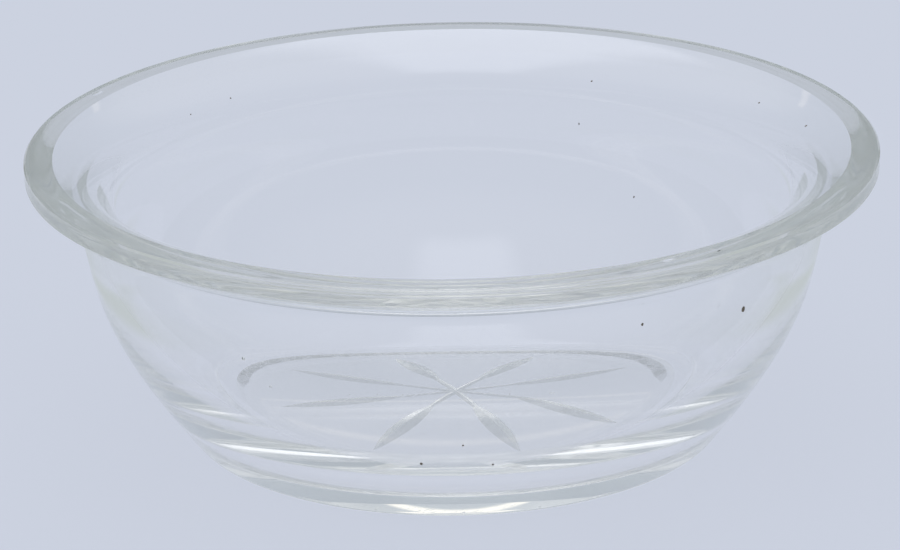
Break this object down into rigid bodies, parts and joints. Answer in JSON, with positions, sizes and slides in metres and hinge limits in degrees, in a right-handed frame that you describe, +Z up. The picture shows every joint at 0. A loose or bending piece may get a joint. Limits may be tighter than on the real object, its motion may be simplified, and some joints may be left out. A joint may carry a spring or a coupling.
{
  "type": "salt cellar",
  "caption": "Small round clear glass salt cellar bowl with an everted ground rim, a thick flat base and a star cut under it.",
  "frame": {"origin": "centre of the flat underside, on the surface that the bowl stands on", "axes": "+Z up along the axis of the bowl, through the middle of its open mouth; +Y away from the side seen in the picture, +X to its right"},
  "size_m": [0.06, 0.06, 0.0209],
  "materials": {
    "glass": "clear, polished, with a satin ground rim"
  },
  "bodies": {
    "root": {"glass_bowl": "glass"}
  },
  "joints": []
}
